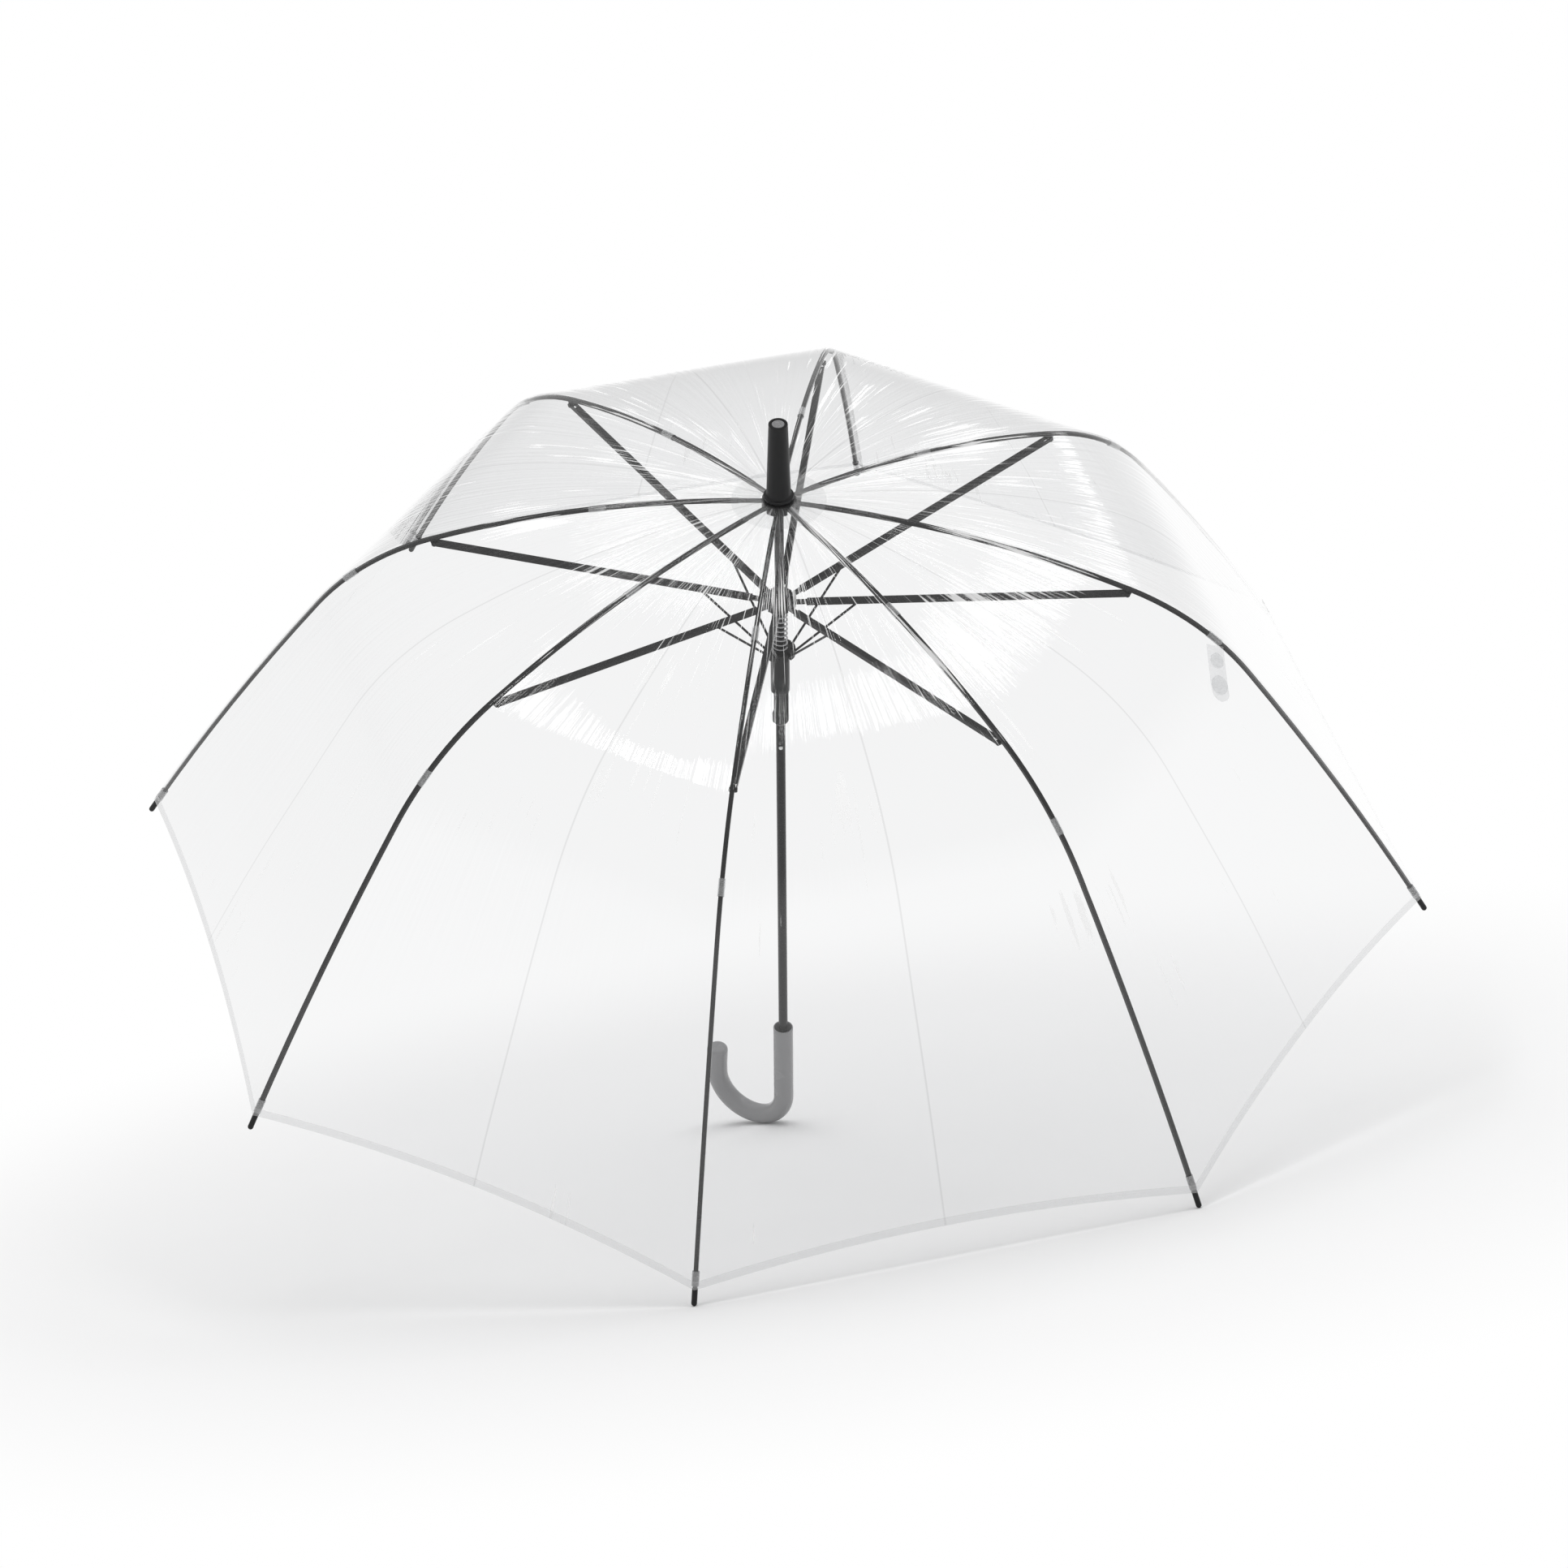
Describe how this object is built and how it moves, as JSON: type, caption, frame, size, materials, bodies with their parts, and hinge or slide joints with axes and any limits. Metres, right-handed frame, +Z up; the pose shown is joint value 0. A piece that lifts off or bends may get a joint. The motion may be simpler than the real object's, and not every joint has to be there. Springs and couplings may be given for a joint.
{
  "type": "umbrella",
  "caption": "Open clear dome umbrella with a crook handle, resting on its handle and two rib tips. Folds by sliding the runner.",
  "frame": {"origin": "on the floor, under the middle of the bounding box of the open umbrella as it rests", "axes": "+Z up; the ferrule leans towards -Y, the side of the two ribs on the floor; the crook rests on the +Y side; +X to the right seen from -Y"},
  "size_m": [0.9152, 0.7909, 0.6056],
  "materials": {
    "charcoal_steel": "satin",
    "black_plastic": "satin",
    "grey_plastic": "satin",
    "bright_steel": "brushed",
    "clear_film": "clear, polished",
    "grey_pad": "satin"
  },
  "bodies": {
    "frame": {"shaft": "charcoal_steel", "handle": "grey_plastic", "top_notch": "black_plastic", "notch_wire": "bright_steel", "ferrule": "black_plastic", "ferrule_pin": "bright_steel", "canopy_rosette": "clear_film"},
    "crown": {"runner_crown": "black_plastic"},
    "runner_sleeve": {"runner": "black_plastic", "opening_spring": "bright_steel"},
    "rib_body_1": {"rib_1": "charcoal_steel", "tip_cap_1": "black_plastic", "canopy_ties_1": "clear_film", "canopy_panel_1": "clear_film"},
    "stretcher_body_1": {"stretcher_1": "charcoal_steel"},
    "strut_body_1": {"wire_strut_1": "charcoal_steel"},
    "rib_body_2": {"rib_2": "charcoal_steel", "tip_cap_2": "black_plastic", "canopy_ties_2": "clear_film", "canopy_panel_2": "clear_film"},
    "stretcher_body_2": {"stretcher_2": "charcoal_steel"},
    "strut_body_2": {"wire_strut_2": "charcoal_steel"},
    "rib_body_3": {"rib_3": "charcoal_steel", "tip_cap_3": "black_plastic", "canopy_ties_3": "clear_film", "canopy_panel_3": "clear_film"},
    "stretcher_body_3": {"stretcher_3": "charcoal_steel"},
    "strut_body_3": {"wire_strut_3": "charcoal_steel"},
    "rib_body_4": {"rib_4": "charcoal_steel", "tip_cap_4": "black_plastic", "canopy_ties_4": "clear_film", "canopy_panel_4": "clear_film"},
    "stretcher_body_4": {"stretcher_4": "charcoal_steel"},
    "strut_body_4": {"wire_strut_4": "charcoal_steel"},
    "rib_body_5": {"rib_5": "charcoal_steel", "tip_cap_5": "black_plastic", "canopy_ties_5": "clear_film", "canopy_panel_5": "clear_film", "closure_strap": "clear_film", "strap_snaps": "grey_pad"},
    "stretcher_body_5": {"stretcher_5": "charcoal_steel"},
    "strut_body_5": {"wire_strut_5": "charcoal_steel"},
    "rib_body_6": {"rib_6": "charcoal_steel", "tip_cap_6": "black_plastic", "canopy_ties_6": "clear_film", "canopy_panel_6": "clear_film"},
    "stretcher_body_6": {"stretcher_6": "charcoal_steel"},
    "strut_body_6": {"wire_strut_6": "charcoal_steel"},
    "rib_body_7": {"rib_7": "charcoal_steel", "tip_cap_7": "black_plastic", "canopy_ties_7": "clear_film", "canopy_panel_7": "clear_film"},
    "stretcher_body_7": {"stretcher_7": "charcoal_steel"},
    "strut_body_7": {"wire_strut_7": "charcoal_steel"},
    "rib_body_8": {"rib_8": "charcoal_steel", "tip_cap_8": "black_plastic", "canopy_ties_8": "clear_film", "canopy_panel_8": "clear_film"},
    "stretcher_body_8": {"stretcher_8": "charcoal_steel"},
    "strut_body_8": {"wire_strut_8": "charcoal_steel"}
  },
  "joints": [
    {"name": "runner_slide", "type": "slide", "parent": "frame", "child": "runner_sleeve", "axis": [0.0123, 0.5146, -0.8574], "range_m": [0, 0.319], "stiffness_N_per_m": 60, "springref_m": -0.05, "deforming": ["opening_spring"]},
    {"name": "crown_slide", "type": "slide", "parent": "frame", "child": "crown", "axis": [0.0123, 0.5146, -0.8574], "range_m": [0, 0.34199]},
    {"name": "rib_fold_1", "type": "hinge", "parent": "frame", "child": "rib_body_1", "pos_m": [-0.01291, -0.17223, 0.529], "axis": [-0.4016, -0.7827, -0.4755], "range_deg": [0, 45.74], "deforming": ["canopy_panel_1"]},
    {"name": "stretcher_fold_1", "type": "hinge", "parent": "rib_body_1", "child": "stretcher_body_1", "pos_m": [-0.2388, -0.05418, 0.52546], "axis": [-0.4016, -0.7827, -0.4755], "range_deg": [-98.09, 0]},
    {"name": "strut_fold_1", "type": "hinge", "parent": "stretcher_body_1", "child": "strut_body_1", "pos_m": [-0.05737, -0.11022, 0.46448], "axis": [-0.4016, -0.7827, -0.4755], "range_deg": [0, 32.07]},
    {"name": "rib_fold_2", "type": "hinge", "parent": "frame", "child": "rib_body_2", "pos_m": [-0.01306, -0.17846, 0.52526], "axis": [0.3636, -0.801, -0.4755], "range_deg": [0, 45.74], "deforming": ["canopy_panel_2"]},
    {"name": "stretcher_fold_2", "type": "hinge", "parent": "rib_body_2", "child": "stretcher_body_2", "pos_m": [-0.24285, -0.22277, 0.42421], "axis": [0.3636, -0.801, -0.4755], "range_deg": [-98.09, 0]},
    {"name": "strut_fold_2", "type": "hinge", "parent": "stretcher_body_2", "child": "strut_body_2", "pos_m": [-0.0583, -0.14907, 0.44115], "axis": [0.3636, -0.801, -0.4755], "range_deg": [0, 32.07]},
    {"name": "rib_fold_3", "type": "hinge", "parent": "frame", "child": "rib_body_3", "pos_m": [-0.00803, -0.18299, 0.52261], "axis": [0.9157, -0.3502, -0.197], "range_deg": [0, 45.74], "deforming": ["canopy_panel_3"]},
    {"name": "stretcher_fold_3", "type": "hinge", "parent": "rib_body_3", "child": "stretcher_body_3", "pos_m": [-0.10666, -0.34532, 0.35262], "axis": [0.9157, -0.3502, -0.197], "range_deg": [-98.09, 0]},
    {"name": "strut_fold_3", "type": "hinge", "parent": "stretcher_body_3", "child": "strut_body_3", "pos_m": [-0.02692, -0.1773, 0.42466], "axis": [0.9157, -0.3502, -0.197], "range_deg": [0, 32.07]},
    {"name": "rib_fold_4", "type": "hinge", "parent": "frame", "child": "rib_body_4", "pos_m": [-0.00076, -0.18317, 0.52261], "axis": [0.9315, 0.3058, 0.197], "range_deg": [0, 45.74], "deforming": ["canopy_panel_4"]},
    {"name": "stretcher_fold_4", "type": "hinge", "parent": "rib_body_4", "child": "stretcher_body_4", "pos_m": [0.08998, -0.35004, 0.35262], "axis": [0.9315, 0.3058, 0.197], "range_deg": [-98.09, 0]},
    {"name": "strut_fold_4", "type": "hinge", "parent": "stretcher_body_4", "child": "strut_body_4", "pos_m": [0.01839, -0.17839, 0.42466], "axis": [0.9315, 0.3058, 0.197], "range_deg": [0, 32.07]},
    {"name": "rib_fold_5", "type": "hinge", "parent": "frame", "child": "rib_body_5", "pos_m": [0.00449, -0.17888, 0.52526], "axis": [0.4016, 0.7827, 0.4755], "range_deg": [0, 45.74], "deforming": ["canopy_panel_5"]},
    {"name": "stretcher_fold_5", "type": "hinge", "parent": "rib_body_5", "child": "stretcher_body_5", "pos_m": [0.23189, -0.23416, 0.42421], "axis": [0.4016, 0.7827, 0.4755], "range_deg": [-98.09, 0]},
    {"name": "strut_fold_5", "type": "hinge", "parent": "stretcher_body_5", "child": "strut_body_5", "pos_m": [0.05108, -0.15169, 0.44115], "axis": [0.4016, 0.7827, 0.4755], "range_deg": [0, 32.07]},
    {"name": "rib_fold_6", "type": "hinge", "parent": "frame", "child": "rib_body_6", "pos_m": [0.00464, -0.17265, 0.529], "axis": [-0.3636, 0.801, 0.4755], "range_deg": [0, 45.74], "deforming": ["canopy_panel_6"]},
    {"name": "stretcher_fold_6", "type": "hinge", "parent": "rib_body_6", "child": "stretcher_body_6", "pos_m": [0.23593, -0.06557, 0.52546], "axis": [-0.3636, 0.801, 0.4755], "range_deg": [-98.09, 0]},
    {"name": "strut_fold_6", "type": "hinge", "parent": "stretcher_body_6", "child": "strut_body_6", "pos_m": [0.05202, -0.11284, 0.46448], "axis": [-0.3636, 0.801, 0.4755], "range_deg": [0, 32.07]},
    {"name": "rib_fold_7", "type": "hinge", "parent": "frame", "child": "rib_body_7", "pos_m": [-0.0004, -0.16812, 0.53165], "axis": [-0.9157, 0.3502, 0.197], "range_deg": [0, 45.74], "deforming": ["canopy_panel_7"]},
    {"name": "stretcher_fold_7", "type": "hinge", "parent": "rib_body_7", "child": "stretcher_body_7", "pos_m": [0.09975, 0.05698, 0.59705], "axis": [-0.9157, 0.3502, 0.197], "range_deg": [-98.09, 0]},
    {"name": "strut_fold_7", "type": "hinge", "parent": "stretcher_body_7", "child": "strut_body_7", "pos_m": [0.02064, -0.08461, 0.48098], "axis": [-0.9157, 0.3502, 0.197], "range_deg": [0, 32.07]},
    {"name": "rib_fold_8", "type": "hinge", "parent": "frame", "child": "rib_body_8", "pos_m": [-0.00767, -0.16795, 0.53165], "axis": [-0.9315, -0.3058, -0.197], "range_deg": [0, 45.74], "deforming": ["canopy_panel_8"]},
    {"name": "stretcher_fold_8", "type": "hinge", "parent": "rib_body_8", "child": "stretcher_body_8", "pos_m": [-0.0969, 0.0617, 0.59705], "axis": [-0.9315, -0.3058, -0.197], "range_deg": [-98.09, 0]},
    {"name": "strut_fold_8", "type": "hinge", "parent": "stretcher_body_8", "child": "strut_body_8", "pos_m": [-0.02467, -0.08352, 0.48098], "axis": [-0.9315, -0.3058, -0.197], "range_deg": [0, 32.07]}
  ],
  "couplings": [
    {"joint": "crown_slide", "follows": "runner_slide", "ratio": 1.0715},
    {"joint": "rib_fold_1", "follows": "runner_slide", "rad_per_m": 2.5013},
    {"joint": "stretcher_fold_1", "follows": "runner_slide", "rad_per_m": -5.3639},
    {"joint": "strut_fold_1", "follows": "runner_slide", "rad_per_m": 1.7536},
    {"joint": "rib_fold_2", "follows": "runner_slide", "rad_per_m": 2.5013},
    {"joint": "stretcher_fold_2", "follows": "runner_slide", "rad_per_m": -5.3639},
    {"joint": "strut_fold_2", "follows": "runner_slide", "rad_per_m": 1.7536},
    {"joint": "rib_fold_3", "follows": "runner_slide", "rad_per_m": 2.5013},
    {"joint": "stretcher_fold_3", "follows": "runner_slide", "rad_per_m": -5.3639},
    {"joint": "strut_fold_3", "follows": "runner_slide", "rad_per_m": 1.7536},
    {"joint": "rib_fold_4", "follows": "runner_slide", "rad_per_m": 2.5013},
    {"joint": "stretcher_fold_4", "follows": "runner_slide", "rad_per_m": -5.3639},
    {"joint": "strut_fold_4", "follows": "runner_slide", "rad_per_m": 1.7536},
    {"joint": "rib_fold_5", "follows": "runner_slide", "rad_per_m": 2.5013},
    {"joint": "stretcher_fold_5", "follows": "runner_slide", "rad_per_m": -5.3639},
    {"joint": "strut_fold_5", "follows": "runner_slide", "rad_per_m": 1.7536},
    {"joint": "rib_fold_6", "follows": "runner_slide", "rad_per_m": 2.5013},
    {"joint": "stretcher_fold_6", "follows": "runner_slide", "rad_per_m": -5.3639},
    {"joint": "strut_fold_6", "follows": "runner_slide", "rad_per_m": 1.7536},
    {"joint": "rib_fold_7", "follows": "runner_slide", "rad_per_m": 2.5013},
    {"joint": "stretcher_fold_7", "follows": "runner_slide", "rad_per_m": -5.3639},
    {"joint": "strut_fold_7", "follows": "runner_slide", "rad_per_m": 1.7536},
    {"joint": "rib_fold_8", "follows": "runner_slide", "rad_per_m": 2.5013},
    {"joint": "stretcher_fold_8", "follows": "runner_slide", "rad_per_m": -5.3639},
    {"joint": "strut_fold_8", "follows": "runner_slide", "rad_per_m": 1.7536}
  ]
}
